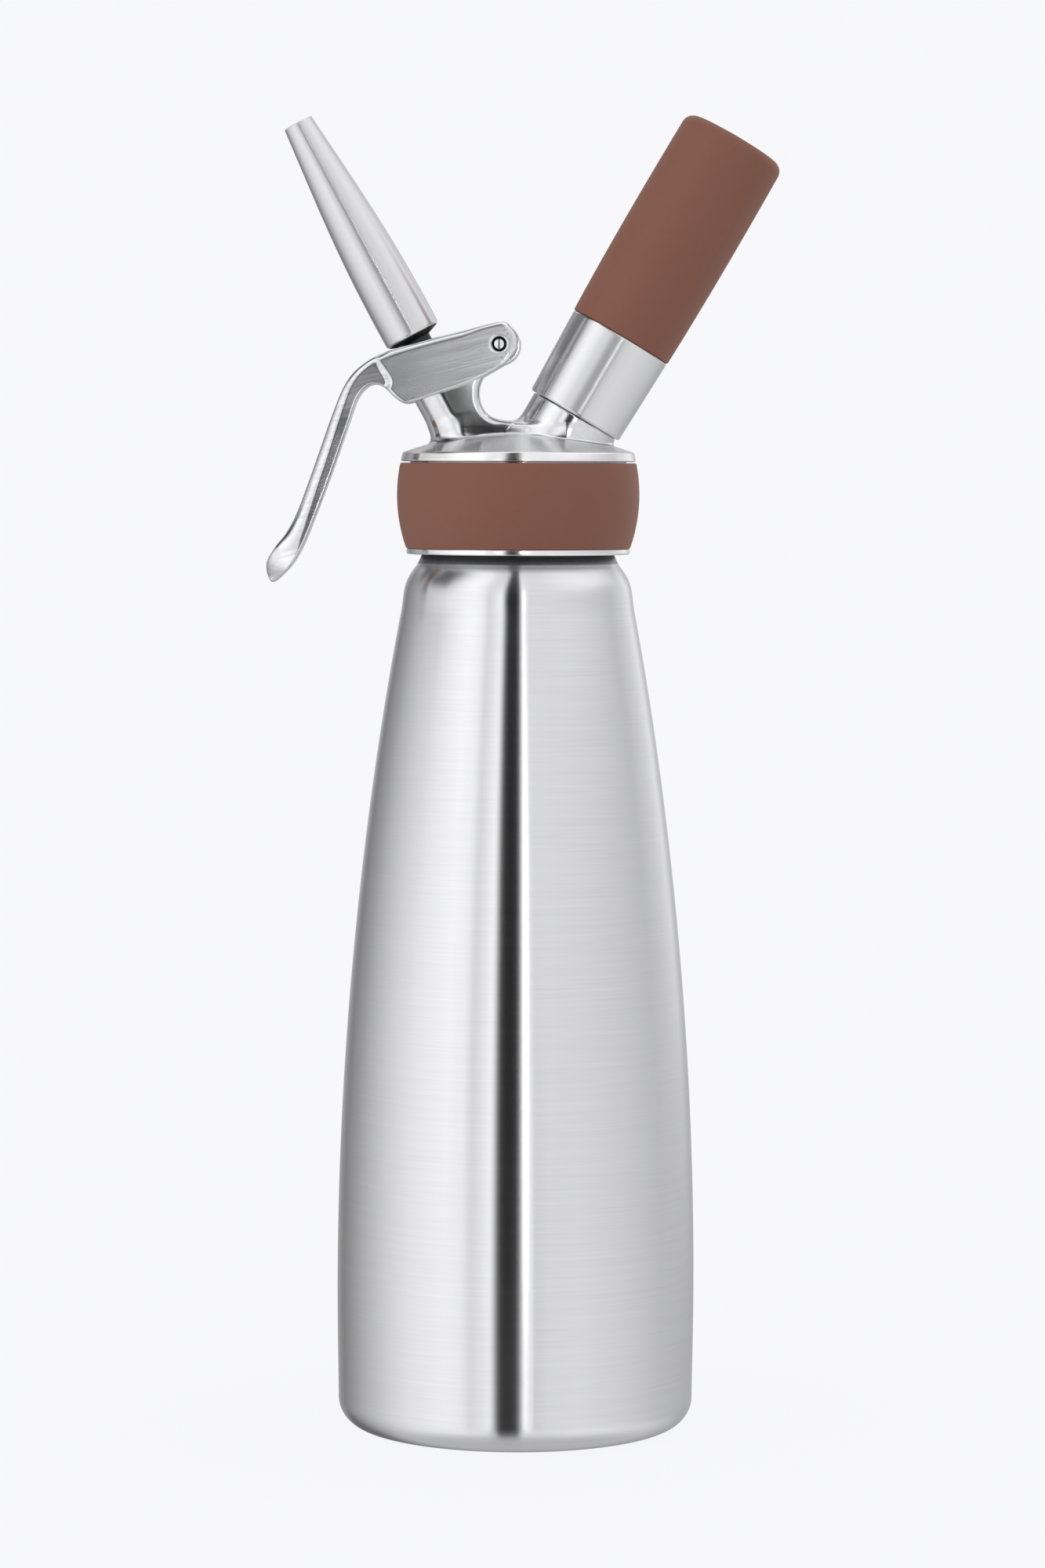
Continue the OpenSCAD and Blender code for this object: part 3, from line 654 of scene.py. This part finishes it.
def castingDistance(x, y, z):
    c = casting
    d, s = axisSpace(x, z, outletSpot, outletTilt)
    e, w = axisSpace(x, z, inletSpot, inletTilt)
    px, pz = pinSpot
    ax, az = c["arch"]
    # Post and web, with the arched edge
    ahead = np.maximum(d, 0)
    side = np.hypot(np.minimum(d, 0), y) - c["postRadius"]
    side = side - c["webSpread"] * ahead ** 2 / (ahead + 2) + c["webCurve"] * ahead ** 2
    round_ = c["archRadius"] - np.hypot(x - ax, z - az)
    edge = np.maximum(round_, np.minimum(x - ax, z - c["ridgeTop"] + 0.8))
    edge = np.minimum(edge, beyond(x, z, *c["archLimit"]))
    post = trimmed(side, edge, c["webEdge"])
    top = np.minimum(s - c["postTop"], beyond(x, z, *c["topSlope"]))
    top = np.maximum(top, np.maximum(beyond(x, z, pinSpot, c["lugAcross"]),
                                     beyond(x, z, pinSpot, c["lugUp"]) - c["lug"]))
    post = trimmed(post, top, 0.4)
    eye = np.minimum(np.hypot(x - px, z - pz) - c["lug"],
                     np.maximum(np.hypot(x - px - c["eyeShift"], z - pz) - c["eyeRadius"],
                                z - pz - c["eyeTop"]))
    post = np.minimum(post, trimmed(eye, np.abs(y) - c["lugHalf"], 0.6))
    # Upright ridge, and the leaning socket that ends at the holder's lower face
    span = c["socketX"] - outletSpot[0]
    along = np.clip((x - outletSpot[0]) / span, 0, 1) + 0 * z
    wider = (c["socket"] - c["postRadius"]) * along ** 1.7
    plan = np.hypot(x - outletSpot[0] - along * span, y) - c["postRadius"] - wider
    ridge = trimmed(plan - 0.02, z - c["ridgeTop"], c["ridgeEdge"])
    socket = np.hypot(e, y) - c["socket"]
    cutW = w + 0.2
    ridge = joined(trimmed(ridge, cutW, 0.3), trimmed(socket, cutW, 0.3), c["socketFillet"])
    shape = joined(post, ridge, 3.4)
    fillet = c["ridgeFillet"] + (c["postFillet"] - c["ridgeFillet"]) * ramp(-x, 10, 17)
    shape = joined(shape, domeDistance(x, y, z), fillet)
    # Threaded spigot under the holder
    turn = np.arctan2(y, e) / (2 * math.pi)
    wave = (w / c["pitch"] - turn) % 1.0
    thread = c["threadDepth"] * (0.5 - np.abs(wave - 0.5)) * 2 * ramp(14.6 - w, 0, 1.2)
    spigot = np.hypot(e, y) - c["spigot"] - thread
    shape = np.minimum(shape, trimmed(spigot, np.maximum(w - c["spigotTop"], -1 - w), 0.4))
    # Bores
    ro, ri = np.hypot(d, y), np.hypot(e, y)
    for bore in (np.maximum(ro - c["springBore"], 6 - s), np.maximum(ro - c["guideBore"], s - 7),
                 np.maximum(ri - c["checkBore"], w - 1), ri - c["gasBore"],
                 np.maximum(ri - c["sealBore"], 5.5 - w),
                 np.hypot(x - px, z - pz) - c["pinBore"] + 0 * y):
        shape = np.maximum(shape, -bore)
    return shape


# Only what stands out of the dome is kept
def keepCasting(p):
    return domeDistance(p[:, 0], p[:, 1], p[:, 2]) > 0.012


points, faces, normals = surfaceNet(castingDistance, (-31, -13.6, 257), (28.5, 13.6, 294), 0.36,
                                    keepCasting)
makePiece("head_casting_top", points, faces, "head", castSteel, normals=normals)
print("casting made,", len(faces), "faces")


# Silicone band

band = {"low": 233.72, "high": 256.25, "bulge": 42.0, "middle": 247.8, "largest": 32.05,
        "inside": 28.66}
centre = (band["largest"] - band["bulge"], band["middle"])
lowAngle = math.degrees(math.asin((band["low"] + 0.5 - band["middle"]) / band["bulge"]))
highAngle = math.degrees(math.asin((band["high"] - 0.45 - band["middle"]) / band["bulge"]))
outer = arc(centre, band["bulge"], lowAngle, highAngle, 26)
lowX, highX = outer[0][0], outer[-1][0]
bandOutline = np.vstack([
    [(band["inside"], band["low"]), (lowX - 0.5, band["low"]), (lowX - 0.18, band["low"] + 0.1)],
    outer,
    [(highX - 0.14, band["high"] - 0.14), (highX - 0.45, band["high"]),
     (band["inside"], band["high"])]])
turnedPiece("head_band_silicone", bandOutline, "head", brownSilicone,
            stands=["head_band"], steps=192)
print("band made")


# Nozzle and its adapter

nozzle = {"start": 29.2, "length": 63.4, "base": 7.65, "tip": 4.02, "socket": 5.25}
low, tipS = nozzle["start"], nozzle["start"] + nozzle["length"]
side = cubic((nozzle["base"], 34.0), (nozzle["base"], 56.0), (6.44, tipS - 26),
             (nozzle["tip"], tipS - 0.25), 60)
nozzleOutline = np.vstack([
    [(nozzle["socket"], low)],
    softened([(nozzle["socket"], low), (7.25, low, 0.3), (7.62, 29.75, 0.3), (nozzle["base"], 31.5),
              (5, 40)], 5)[1:-1],
    side,
    softened([(nozzle["tip"], tipS - 0.3), (4.0, tipS, 0.24), (3.12, tipS, 0.24), (3.1, tipS - 2)], 5),
    [(3.02, tipS - 8), (4, 53.2), (4, 42.2), (nozzle["socket"], 40.8)]])
turnedPiece("nozzle_cone", nozzleOutline, "nozzle", nozzleSteel, outletFrame,
            stands=["nozzle"], steps=144)

adapterOutline = np.vstack([
    softened([(3.02, 23.02), (3.85, 23.02, 0.2), (4.05, 23.4, 0.2), (4.05, 27.9, 0.25),
              (7.0, 29.02, 0.12), (7.05, 29.15), (5.15, 29.15)], 4),
    [(5.18 if i % 2 else 4.85, 29.9 + i * 0.5) for i in range(14)],
    [(4.7, 37.2), (3.02, 37.2)]])
turnedPiece("nozzle_adapter_plastic", adapterOutline, "valve_stem", blackPlastic,
            outletFrame, stands=["nozzle_adapter"], steps=96)
print("nozzle made")


# Charger holder

sleeveTop, innerEnd = 23.75, 75.25
sleeveOutline = np.vstack([
    softened([(10.7, 4), (10.7, 0, 0.25), (13.1, 0, 0.22), (13.38, 0.5, 0.25), (13.75, 11, 1.5),
              (14.1, 23.4, 0.2), (13.92, sleeveTop, 0.16), (11.6, sleeveTop), (11.6, 30)], 5)[1:-1],
    [(11.6, innerEnd + 2.2), (10.6, innerEnd + 3), (0, innerEnd + 3), (0, innerEnd), (5, innerEnd),
     (9.3, innerEnd - 4.5), (9.3, 20.5), (10.7, 19)]])
turnedPiece("holder_sleeve_steel", sleeveOutline, "charger_holder", sleeveSteel,
            inletFrame, stands=["holder_sleeve"], steps=160)

gripOutline = np.vstack([
    [(11.65, 23.9)],
    softened([(11.65, 23.9), (14.05, 23.9, 0.2), (14.3, 24.3, 0.2), (14.35, 27)], 5)[1:-1],
    cubic((14.3, 24.5), (14.75, 39.9), (14.9, 57.9), (14.55, 80.9), 40),
    arc((11.55, 80.9), 3, 6, 82, 12), [(7.5, 84.25), (3.5, 84.44), (0, 84.5)],
    [(0, 78.3), (11.65, 78.3)]])
turnedPiece("holder_grip_silicone", gripOutline, "charger_holder", brownSilicone,
            inletFrame, stands=["holder_grip"], steps=160)
print("holder made")


# Lever: a channel over the post, a bent handle and a flared tip

lever = {"half": 10.5, "taper": 0.00008, "inner": 8.6, "topEdge": 1.8, "lowEdge": 0.9,
         "innerEdge": 0.45, "hole": 1.84, "holeEdge": 0.75,
         "padPlace": 25.1, "padRadius": 2.2, "padMiddle": 7.0, "padHalf": 1.9,
         "slotMiddle": 1.3, "slotStraight": 1.6, "slotRadius": 4.9, "slotLow": 22.8}
boxOutline = smooth([
    (-38, 283.7), (-33.8, 285.6), (-23.8, 288.5), (-13.9, 291), (-4.6, 293.2), (-1.85, 291.7),
    (-0.3, 289.4), (-0.35, 286.6), (-1.75, 284.3), (-3.9, 282), (-8, 279.5), (-13, 277.1),
    (-18.8, 275), (-26.2, 272.5), (-29.8, 271.8), (-32.1, 273), (-34.4, 275.2), (-37.3, 277.5),
    (-40.2, 278.8), (-40.8, 281.0), (-38, 283.7)], 10)
handleOutline = smooth([
    (-31, 286.5), (-36.9, 284.4), (-41, 281.9), (-44.1, 278.9), (-46.6, 274.7), (-49.3, 268),
    (-52.2, 259.8), (-55.1, 251.6), (-58.2, 243.3), (-60.9, 238), (-64.3, 233.5), (-66.4, 229.7),
    (-66.1, 226.3), (-64.6, 224.6), (-61.9, 226.7), (-59.1, 230.1), (-56.4, 235), (-53.7, 241.6),
    (-50.5, 249.9), (-47.5, 258.3), (-44.4, 267.4), (-42.3, 273.2), (-39.7, 276.2), (-36.8, 276.7),
    (-33, 274.4)], 8)
handleOutline = np.vstack([handleOutline, [(-33, 274.4)]])
# Half the handle's width by height
handleWidth = smooth([(290, 10.4), (283, 10.3), (280, 9.9), (277, 9.3), (266, 7.3), (250, 6.4),
                      (240, 6.8), (232, 8.3), (228, 7.9), (225, 4.5), (223.6, 0.3)], 6)[::-1]
# The handle's outer side, from the box to the tip: twelve of the pieces above, in eight steps each
outerLine = handleOutline[:12 * 8 + 1]
# Where the box's sides begin
boxZone = smooth([(-38.4, 286), (-37.2, 283.4), (-36, 281), (-34.7, 279), (-34, 277.2), (-34.8, 275.2),
                  (-36, 273), (-36, 268)], 6)
boxZone = np.vstack([boxZone, [(-36, 262), (6, 262), (6, 300), (-38.4, 300)]])
# How far the rounding of the handle's outer side reaches, and how deep it is, by height
crownReach = smooth([(222, 4.2), (224, 4.5), (229, 6.4), (234, 4.8), (238, 3.7), (248, 3.0),
                     (262, 2.7), (272, 2.3), (279, 1.8), (288, 1.5)], 8)
crownDepth = smooth([(222, 2.6), (224, 3.4), (228, 6.2), (231, 4.6), (234.5, 2.6), (240, 2.6),
                     (262, 2.9), (276, 2.0), (288, 1.5)], 8)
# The hollow between the box's sides, closed on top left of the post
cavityOutline = np.array([(-33.8, 262), (-33.8, 283.4), (-23.8, 286.3), (-13, 289), (-13, 300),
                          (8, 300), (8, 262)], float)


# How deep the rounding of the handle's outer side cuts in; it takes up the whole width at the tip
def crowned(x, z):
    best = np.full(np.broadcast(x, z).shape, 1e9)
    for (ax, az), (bx, bz) in zip(outerLine[:-1], outerLine[1:]):
        ex, ez = bx - ax, bz - az
        t = np.clip(((x - ax) * ex + (z - az) * ez) / (ex ** 2 + ez ** 2), 0, 1)
        best = np.minimum(best, (x - ax - ex * t) ** 2 + (z - az - ez * t) ** 2)
    away = np.sqrt(best)
    reach = np.interp(z, crownReach[:, 0], crownReach[:, 1])
    depth = np.interp(z, crownDepth[:, 0], crownDepth[:, 1])
    t = np.clip(1 - away / reach, 0, 0.975)
    straight = 0.5 - 0.5 * ramp(z, 228, 243)
    # Its upper part faces a little inwards, its lower part a little outwards
    lean = 0.028 * ramp(z, 254, 264) - 0.020 * (1 - ramp(z, 240, 254))
    lean = lean * np.clip(away - reach * 0.6, 0, 6)
    return depth * (straight * t + (1 - straight) * (1 - np.sqrt(1 - t * t))), lean


def leverDistance(x, y, z):
    v = lever
    flat = np.minimum(outlineDistance(x, z, boxOutline), outlineDistance(x, z, handleOutline))
    wide = np.interp(z, handleWidth[:, 0], handleWidth[:, 1])
    # The box's sides run down to the handle's in a soft slope
    within = -outlineDistance(x, z, boxZone)
    share = ramp(within, -1.0, 1.0)
    crown, lean = crowned(x, z)
    # They come a little closer together towards the pin
    half = v["half"] - v["taper"] * np.maximum(x + 38, 0) ** 2
    wide = wide + (half - wide) * share - crown * (1 - ramp(within, -1.5, 4)) - lean * (1 - share)
    upper = ramp((z - 280.6) - (x + 20) * 0.22, -2, 3)
    # Over the post the wall is too thin for the large edge
    top = v["topEdge"] - 0.6 * ramp(x, -17, -10)
    edge = v["lowEdge"] + (top - v["lowEdge"]) * upper
    shape = trimmed(flat, (np.abs(y) - wide) * 0.93, v["innerEdge"] + (edge - v["innerEdge"]) * share)
    cavity = trimmed(outlineDistance(x, z, cavityOutline), np.abs(y) - v["inner"], 0.6)
    shape = trimmed(shape, -cavity, 0.4)
    d, s = axisSpace(x, z, outletSpot, outletTilt)
    pads = np.maximum(np.hypot(d, s - v["padPlace"]) - v["padRadius"],
                      np.abs(np.abs(y) - v["padMiddle"]) - v["padHalf"])
    shape = np.minimum(shape, np.maximum(pads, flat + 0.3))
    # The stem comes up through a slot in the top
    slot = np.hypot(np.maximum(np.abs(d - v["slotMiddle"]) - v["slotStraight"], 0), y)
    slot = np.maximum(slot - v["slotRadius"], v["slotLow"] - s)
    shape = trimmed(shape, -slot, 0.35)
    hole = np.hypot(x - pinSpot[0], z - pinSpot[1]) - v["hole"]
    return trimmed(shape, -hole - 0 * y, v["holeEdge"])


points, faces, normals = surfaceNet(leverDistance, (-68, -11.2, 222.5), (1.2, 11.2, 294.5), 0.29,
                                    soft=0.2)
leverBody = makePiece("lever_body", points, faces, "lever", leverSteel, stands=["lever"],
                      normals=normals)
print("lever made,", len(faces), "faces")

# The pin's front end is domed and slotted, with a groove behind it
pinOutline = np.vstack([
    softened([(0, -10.4), (1.1, -10.42, 0.2), (1.78, -10.3, 0.18), (1.78, -8)], 4),
    [(1.78, 8.7), (1.36, 8.75), (1.36, 10.02), (1.26, 10.2), (1.05, 10.3), (0.7, 10.41), (0.35, 10.48),
     (0, 10.51)]])
leverPin = turnedPiece("lever_pin_steel", pinOutline, "lever", pinSteel, pinFrame,
                       stands=["lever_pin"], steps=64)
pinSlot = [(x, y, z) for z in (10.0, 11) for y in (-2, 2) for x in (-0.2, 0.2)]
boxFaces = [(0, 2, 3, 1), (4, 5, 7, 6), (0, 1, 5, 4), (2, 6, 7, 3), (0, 4, 6, 2), (1, 3, 7, 5)]
cutAway(leverPin, [(pinSlot, boxFaces, pinFrame)])
# Painted shade: the groove behind the pin's end is near-black steel
leverPin.data.materials.append(shadeSteel)
for face in leverPin.data.polygons:
    if math.hypot(face.center.x, face.center.y) > 0.00134 and face.center.z > 0.0085:
        face.material_index = 1

# The lever is near-black in the pin's hole, as painted shade, dull round it and brushed on the box's
# sides
for material in (shadeSteel, sideSteel, eyeSteel):
    leverBody.data.materials.append(material)
spots = np.array([face.center for face in leverBody.data.polygons]) / mm
brushed = outlineDistance(spots[:, 0], spots[:, 2], boxZone) < 0
for face, (x, y, z), side in zip(leverBody.data.polygons, spots, brushed):
    fromPin = math.hypot(x - pinSpot[0], z - pinSpot[1])
    if fromPin < 1.9 and abs(y) < 9.9:
        face.material_index = 1
    elif fromPin < 2.7 or x > -2.6 or (x > pinSpot[0] and fromPin < 3.4):
        face.material_index = 3
    elif side and abs(y) > 9.9 and abs(face.normal.y) > 0.9:
        face.material_index = 2
print("pin made")


# Springs

# An open coil between the heights low and high
def coil(name, radius, wire, low, high, turns, body, place, node):
    around, sides = 28, 10
    count = int(turns * around) + 1
    t = np.linspace(0, 1, count)
    # The end turns lie closer together than the free ones
    rise = np.interp(t, [0, 0.12, 0.88, 1], [0, 0.035, 0.965, 1])
    a = t * turns * 2 * math.pi
    z = low + wire / 2 + rise * (high - low - wire)
    points = []
    for i in range(count):
        for k in range(sides):
            b = 2 * math.pi * k / sides
            r = radius + wire / 2 * math.cos(b)
            points.append((r * math.cos(a[i]), r * math.sin(a[i]), z[i] + wire / 2 * math.sin(b)))
    faces = []
    for i in range(count - 1):
        for k in range(sides):
            m = (k + 1) % sides
            faces.append((i * sides + k, (i + 1) * sides + k, (i + 1) * sides + m, i * sides + m))
    faces.append(tuple(range(sides)))
    faces.append(tuple(reversed(range((count - 1) * sides, count * sides))))
    piece = makePiece(name, points, faces, body, springSteel, place, [node], sharp=50)
    piece.modifiers.clear()
    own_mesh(piece)


coil("valve_spring_coil", 4.6, 1.0, 6.1, 20.5, 6, "head", outletFrame, "valve_spring")
coil("inlet_spring_coil", 3.2, 0.6, -10.5, -2.3, 5, "head", inletFrame, "inlet_spring")
print("springs made")


# CAD nodes that stay, with their materials

for material, nodes in (
        (redSilicone, ("head_gasket", "poppet_seal", "nozzle_seal")),
        (blackRubber, ("guide_seal", "charger_seal", "inlet_poppet_seal")),
        (innerSteel, ("valve_seat", "stem_guide", "inlet_retainer", "pierce_pin", "valve_stem",
                      "stem_collar", "restrictor_disc", "inlet_poppet")),
        (bulbSteel, ("nitrogen_charger",)), (foil, ("charger_cap",))):
    for node in nodes:
        solid = frame["nodes"][node]
        solid.data.materials.clear()
        solid.data.materials.append(material)


# Floor: pale, and gone into the background before its edge shows

background = (0.9387, 0.9387, 0.9560)
floorMesh = bpy.data.meshes.new("floor")
rings, spokes = [0, 0.06, 0.12, 0.3, 0.8, 2.5, 8, 30], 64
floorPoints = [(0, 0, 0)] + [(r * math.cos(a), r * math.sin(a), 0) for r in rings[1:]
                             for a in np.arange(spokes) * 2 * math.pi / spokes]
floorFaces = [(0, 1 + j, 1 + (j + 1) % spokes) for j in range(spokes)]
for i in range(len(rings) - 2):
    for j in range(spokes):
        a, b, k = 1 + i * spokes, 1 + (i + 1) * spokes, (j + 1) % spokes
        floorFaces.append((a + j, b + j, b + k, a + k))
floorMesh.from_pydata(floorPoints, [], floorFaces)
floor = addObject("floor", floorMesh)
floor.location = (0, 0, -0.0002)
floor.visible_glossy = False
floor.visible_diffuse = False
floorMaterial, tree = newMaterial("floor")
xyz = addNode(tree, "ShaderNodeSeparateXYZ", {0: objectVector(tree)}).outputs
share = mapped(tree, fromAxis(tree, xyz), 0.05, 0.12, 0.96, 1.0)
glow = addNode(tree, "ShaderNodeEmission", {"Color": (*background, 1), "Strength": 1.0}).outputs[0]
matt = addNode(tree, "ShaderNodeBsdfDiffuse", {"Color": (0.9, 0.9, 0.91, 1)}).outputs[0]
mixed = addNode(tree, "ShaderNodeMixShader", {0: share, 1: matt, 2: glow}).outputs[0]
addNode(tree, "ShaderNodeOutputMaterial", {"Surface": mixed})
floorMesh.materials.append(floorMaterial)


# Studio light: soft white walls all round, with a narrow dark gap in front

world = bpy.data.worlds.new("studio")
bpy.context.scene.world = world
world.use_nodes = True
tree = world.node_tree
tree.nodes.clear()
toward = addNode(tree, "ShaderNodeTexCoord").outputs["Generated"]
xyz = addNode(tree, "ShaderNodeSeparateXYZ", {0: toward}).outputs
turn = calc(tree, "ARCTAN2", xyz[0], calc(tree, "MULTIPLY", xyz[1], -1.0))
turn = calc(tree, "MULTIPLY", turn, 180 / math.pi)
rise = calc(tree, "MULTIPLY", calc(tree, "ARCSINE", xyz[2]), 180 / math.pi)
# The dark gap's right edge leans away below eye level, as far as 14 degrees down, and not beyond
leaning = calc(tree, "MULTIPLY", 1.2, calc(tree, "MINIMUM", 7.5, calc(
    tree, "MAXIMUM", 0.0, calc(tree, "SUBTRACT", -5.0, rise))))
leaning = calc(tree, "MULTIPLY", leaning, mapped(tree, rise, -20.0, -14.0))
near = calc(tree, "MULTIPLY", mapped(tree, turn, 14.0, 8.0), mapped(tree, turn, -12.0, -1.0))
turn = calc(tree, "SUBTRACT", turn, calc(tree, "MULTIPLY", leaning, near))
turn = calc(tree, "ADD", calc(tree, "DIVIDE", turn, 360.0), 0.5)


def wallBrightness(stops):
    node = addNode(tree, "ShaderNodeValToRGB", {0: turn})
    bar = node.color_ramp
    while len(bar.elements) < len(stops):
        bar.elements.new(0.5)
    for element, (angle, level) in zip(bar.elements, stops):
        element.position = (angle + 180) / 360
        element.color = (level, level, level * 1.01, 1)
    return node.outputs[0]


# Degrees from the camera's side, positive to the right, and brightness
level = wallBrightness([
    (-180, 0.62), (-150, 0.24), (-128, 0.40), (-106, 0.68), (-89, 0.90), (-74, 1.04), (-60, 1.11),
    (-47, 1.18), (-35, 1.10), (-29, 0.80), (-23, 1.0), (-16, 1.30), (-13.2, 0.5), (-11.9, 0.0),
    (0, 0.0), (2.2, 0.08), (4.1, 1.35), (7.0, 1.35), (8.6, 0.88), (23, 0.85), (47, 0.77),
    (74, 0.69), (106, 0.60), (128, 0.78), (145, 0.94), (160, 0.58), (180, 0.60)])
above = wallBrightness([
    (-180, 0.80), (-150, 0.70), (-138, 0.10), (-110, 0.05), (-87, 0.10), (-77, 0.75), (-64, 1.15),
    (-50, 1.30), (-38, 1.10), (-28, 0.85), (-14, 0.90), (-10.6, 0.02), (1.2, 0.05), (4.2, 1.10),
    (9, 0.90), (30, 0.90), (57, 1.05), (80, 1.10), (97, 1.06), (119, 0.95), (147, 0.50), (165, 0.7),
    (180, 0.80)])
below = wallBrightness([
    (-180, 0.45), (-147, 0.25), (-128, 0.40), (-106, 0.62), (-89, 0.80), (-72, 0.95), (-47, 1.05),
    (-35, 1.0), (-29, 0.80), (-20, 0.95), (-16, 1.2), (-13.2, 0.5), (-11.9, 0.0), (1.6, 0.03),
    (3.2, 1.3), (8.2, 1.3), (9.8, 0.58), (14, 0.66), (20, 0.82), (43, 0.85), (71, 0.75), (108, 0.59),
    (147, 0.45), (180, 0.45)])
lowest = wallBrightness([
    (-180, 0.35), (-165, 0.14), (-146, 0.14), (-128, 0.38), (-106, 0.60), (-89, 0.80), (-72, 0.95),
    (-43, 1.05), (-20, 0.92), (-12.8, 0.5), (-11.2, 0.05), (1.5, 0.08), (5.5, 0.95), (20, 0.90),
    (43, 1.0), (71, 0.92), (108, 0.75), (147, 0.50), (180, 0.30)])


# The first colour below the lower rise, the second above the higher one
def blended(low, high, first, second):
    share = mapped(tree, rise, low, high, interpolation_type="SMOOTHSTEP")
    return mixedColours(tree, share, first, second)


walls = blended(-8, -1, below, blended(15, 28, level, above))
walls = blended(-24, -16, lowest, walls)
walls = blended(-55, -36, (0.54, 0.54, 0.545, 1), walls)
walls = blended(70, 86, walls, (1.45, 1.45, 1.45, 1))
# A small bright lamp beside the camera
lampAngle, lampRise, lampSize, lampLevel = math.radians(6.3), math.radians(0.0), 1.7, 13.0
lamp = (math.sin(lampAngle) * math.cos(lampRise), -math.cos(lampAngle) * math.cos(lampRise),
        math.sin(lampRise))
nearLamp = addNode(tree, "ShaderNodeVectorMath", {0: toward, 1: lamp},
                   operation="DOT_PRODUCT").outputs["Value"]
lampShare = mapped(tree, nearLamp, math.cos(math.radians(lampSize * 1.2)),
                   math.cos(math.radians(lampSize * 0.8)))
lit = mixedColours(tree, lampShare, walls, (lampLevel, lampLevel, lampLevel, 1))
studio = addNode(tree, "ShaderNodeBackground", {"Color": lit, "Strength": 1.0}).outputs[0]
plain = addNode(tree, "ShaderNodeBackground", {
    "Color": (*background, 1), "Strength": 1.0}).outputs[0]
seen = addNode(tree, "ShaderNodeLightPath").outputs["Is Camera Ray"]
mixed = addNode(tree, "ShaderNodeMixShader", {0: seen, 1: studio, 2: plain}).outputs[0]
addNode(tree, "ShaderNodeOutputWorld", {"Surface": mixed})
bpy.context.scene.view_settings.view_transform = "Standard"


# Softbox for the matt pieces, up on the left
softbox = addObject("softbox", bpy.data.lights.new("softbox", "AREA"))
softbox.data.energy, softbox.data.size = 3.2, 0.7
softbox.location = (-1.0, -0.65, 0.9)
aim = Vector((0, 0, 0.28)) - softbox.location
softbox.rotation_euler = aim.to_track_quat("-Z", "Y").to_euler()
softbox.visible_glossy = softbox.visible_camera = False


# Camera at the photograph's angle

view = {"lens": 114.12, "sensor": 36, "place": (0.0014008, -1.3165, 0.2543), "down": 3.61, "roll": 0.2}
camera = addObject("camera", bpy.data.cameras.new("camera"))
camera.data.lens, camera.data.sensor_width = view["lens"], view["sensor"]
camera.matrix_world = (Matrix.Translation(view["place"])
                       @ Matrix.Rotation(math.radians(90 - view["down"]), 4, "X")
                       @ Matrix.Rotation(math.radians(view["roll"]), 4, "Z"))
bpy.context.scene.camera = camera
print("light, floor and camera made")
